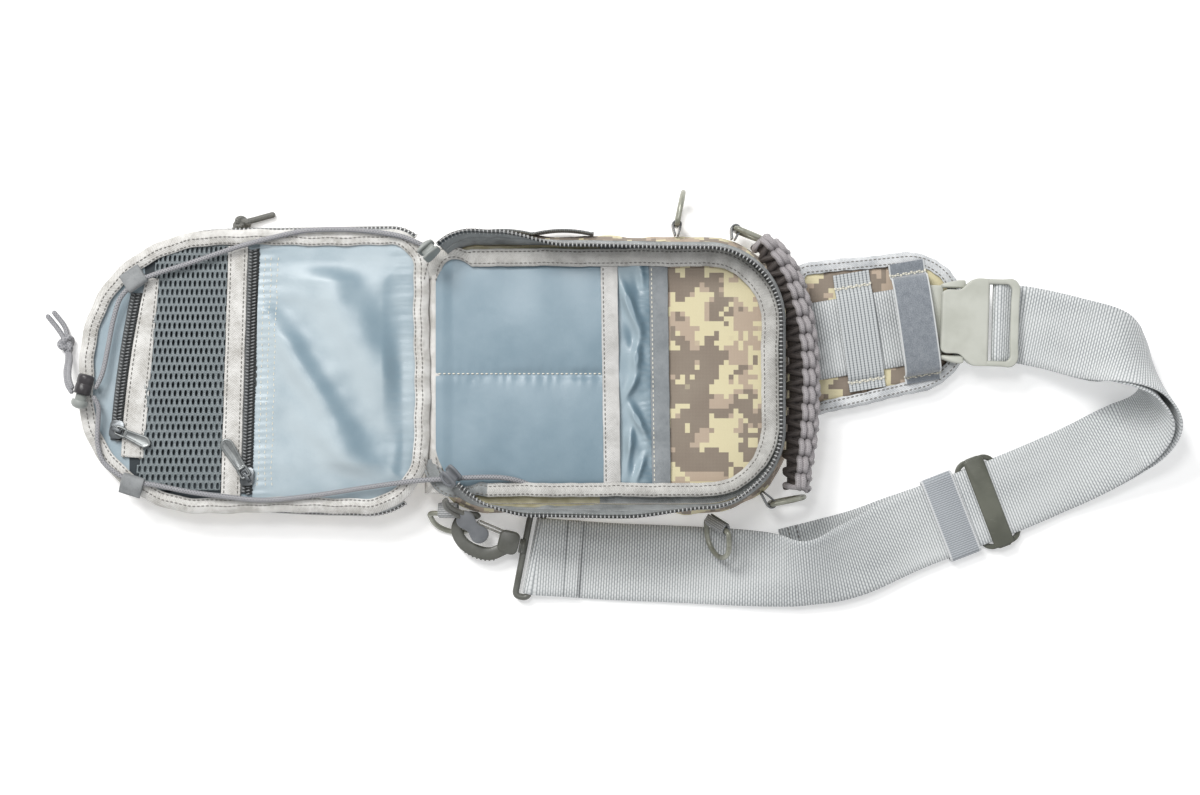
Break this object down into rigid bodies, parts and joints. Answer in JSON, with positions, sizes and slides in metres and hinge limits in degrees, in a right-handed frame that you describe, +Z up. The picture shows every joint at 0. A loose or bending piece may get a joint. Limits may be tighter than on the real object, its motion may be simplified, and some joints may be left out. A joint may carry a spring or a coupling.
{
  "type": "tactical sling bag",
  "caption": "Small sling bag in camouflage cloth, unzipped and opened flat on its back, with pockets, laced cord, braided handle, shoulder yoke and a webbing strap hooked to a ring.",
  "frame": {"origin": "centre of the back pad's resting face, on the floor", "axes": "+X from the opened front unit to the strap, +Y towards the upper side in the picture, +Z up from the floor"},
  "size_m": [0.7302, 0.269, 0.0631],
  "materials": {
    "camouflage_cloth": "matt woven nylon in a block camouflage of sand, tan and brown",
    "coated_cloth": "cream coating on the inside of the cloth",
    "lining_cloth": "thin blue-grey lining with a soft sheen",
    "binding_tape": "pale grey ribbed binding tape",
    "grey_tape": "grey woven tape",
    "mesh_cloth": "dark grey open knitted mesh",
    "zip_tape": "dark grey coil zip on woven tape",
    "webbing": "light grey woven webbing",
    "loop_pile": "grey loop pile",
    "shock_cord": "braided sheath on shock cord",
    "braid_cord": "braided cord, light and dark",
    "grey_plastic": "moulded, satin",
    "olive_plastic": "moulded, satin",
    "charcoal_plastic": "moulded, satin",
    "olive_metal": "satin paint",
    "dark_metal": "satin paint",
    "bright_metal": "bright wire"
  },
  "bodies": {
    "bag": {"back_pad": "camouflage_cloth", "rear_gusset": "camouflage_cloth", "organizer_panel": "camouflage_cloth", "slip_pocket": "lining_cloth", "slip_pocket_hem": "binding_tape", "upper_pocket": "lining_cloth", "upper_pocket_hem": "grey_tape", "body_binding": "binding_tape", "main_gusset": "coated_cloth", "body_zip": "zip_tape", "front_face": "camouflage_cloth", "front_gusset": "camouflage_cloth", "front_panel": "lining_cloth", "lining_pocket": "lining_cloth", "mesh_pocket": "mesh_cloth", "mesh_hem_inner": "binding_tape", "mesh_hem_outer": "binding_tape", "front_binding": "binding_tape", "front_zip": "zip_tape", "lining_zip": "zip_tape", "mesh_zip": "zip_tape", "lining_slider": "dark_metal", "mesh_slider": "dark_metal", "cord_tab_upper": "grey_tape", "cord_tab_lower": "grey_tape", "bungee_upper": "shock_cord", "bungee_lower": "shock_cord", "bungee_knot": "shock_cord", "cord_lock_barrel": "charcoal_plastic", "pull_cord": "braid_cord", "loop_side": "grey_tape", "ring_handle_upper": "olive_metal", "loop_handle_upper": "grey_tape", "ring_handle_lower": "olive_metal", "loop_handle_lower": "grey_tape", "loop_free": "grey_tape", "ring_hook": "olive_metal", "loop_hook": "grey_tape", "handle": "braid_cord", "yoke_pad": "camouflage_cloth", "yoke_binding": "binding_tape", "yoke_webbing": "webbing", "yoke_elastic": "grey_tape", "yoke_loop_strip": "loop_pile", "buckle_female": "grey_plastic", "buckle_male": "grey_plastic", "strap": "webbing", "strap_keeper": "loop_pile", "triglide": "olive_plastic", "hook_body": "charcoal_plastic", "hook_eye": "charcoal_plastic", "zip_slider_lower": "dark_metal", "zip_slider_upper": "dark_metal", "zip_puller": "loop_pile"},
    "hook_gate": {"hook_gate": "bright_metal"},
    "lining_pull": {"lining_pull": "bright_metal"},
    "mesh_pull": {"mesh_pull": "bright_metal"},
    "ring_side": {"ring_side": "olive_metal"},
    "ring_free": {"ring_free": "olive_metal"},
    "lock_button": {"cord_lock_button": "grey_plastic"}
  },
  "joints": [
    {"name": "hook_gate_hinge", "type": "hinge", "parent": "bag", "child": "hook_gate", "pos_m": [-0.06871, -0.10267, 0.01], "axis": [0, 0, 1], "range_deg": [0, 24], "stiffness_Nm_per_rad": 0.02},
    {"name": "lining_pull_hinge", "type": "hinge", "parent": "bag", "child": "lining_pull", "pos_m": [-0.23342, -0.065, 0.033], "axis": [0.848, 0.5299, 0], "range_deg": [0, 150]},
    {"name": "mesh_pull_hinge", "type": "hinge", "parent": "bag", "child": "mesh_pull", "pos_m": [-0.31724, -0.035, 0.02938], "axis": [-0.4067, -0.9135, 0], "range_deg": [0, 150]},
    {"name": "ring_side_hinge", "type": "hinge", "parent": "bag", "child": "ring_side", "pos_m": [0.0415, 0.0964, 0.018], "axis": [0, 0, 1], "range_deg": [-80, 80]},
    {"name": "ring_free_hinge", "type": "hinge", "parent": "bag", "child": "ring_free", "pos_m": [0.0675, -0.097, 0.023], "axis": [0.5043, -0.288, 0.8141], "range_deg": [-75, 6]},
    {"name": "lock_button_slide", "type": "slide", "parent": "bag", "child": "lock_button", "axis": [0.2601, 0.9654, -0.02], "range_m": [0, 0.0034], "stiffness_N_per_m": 400}
  ]
}
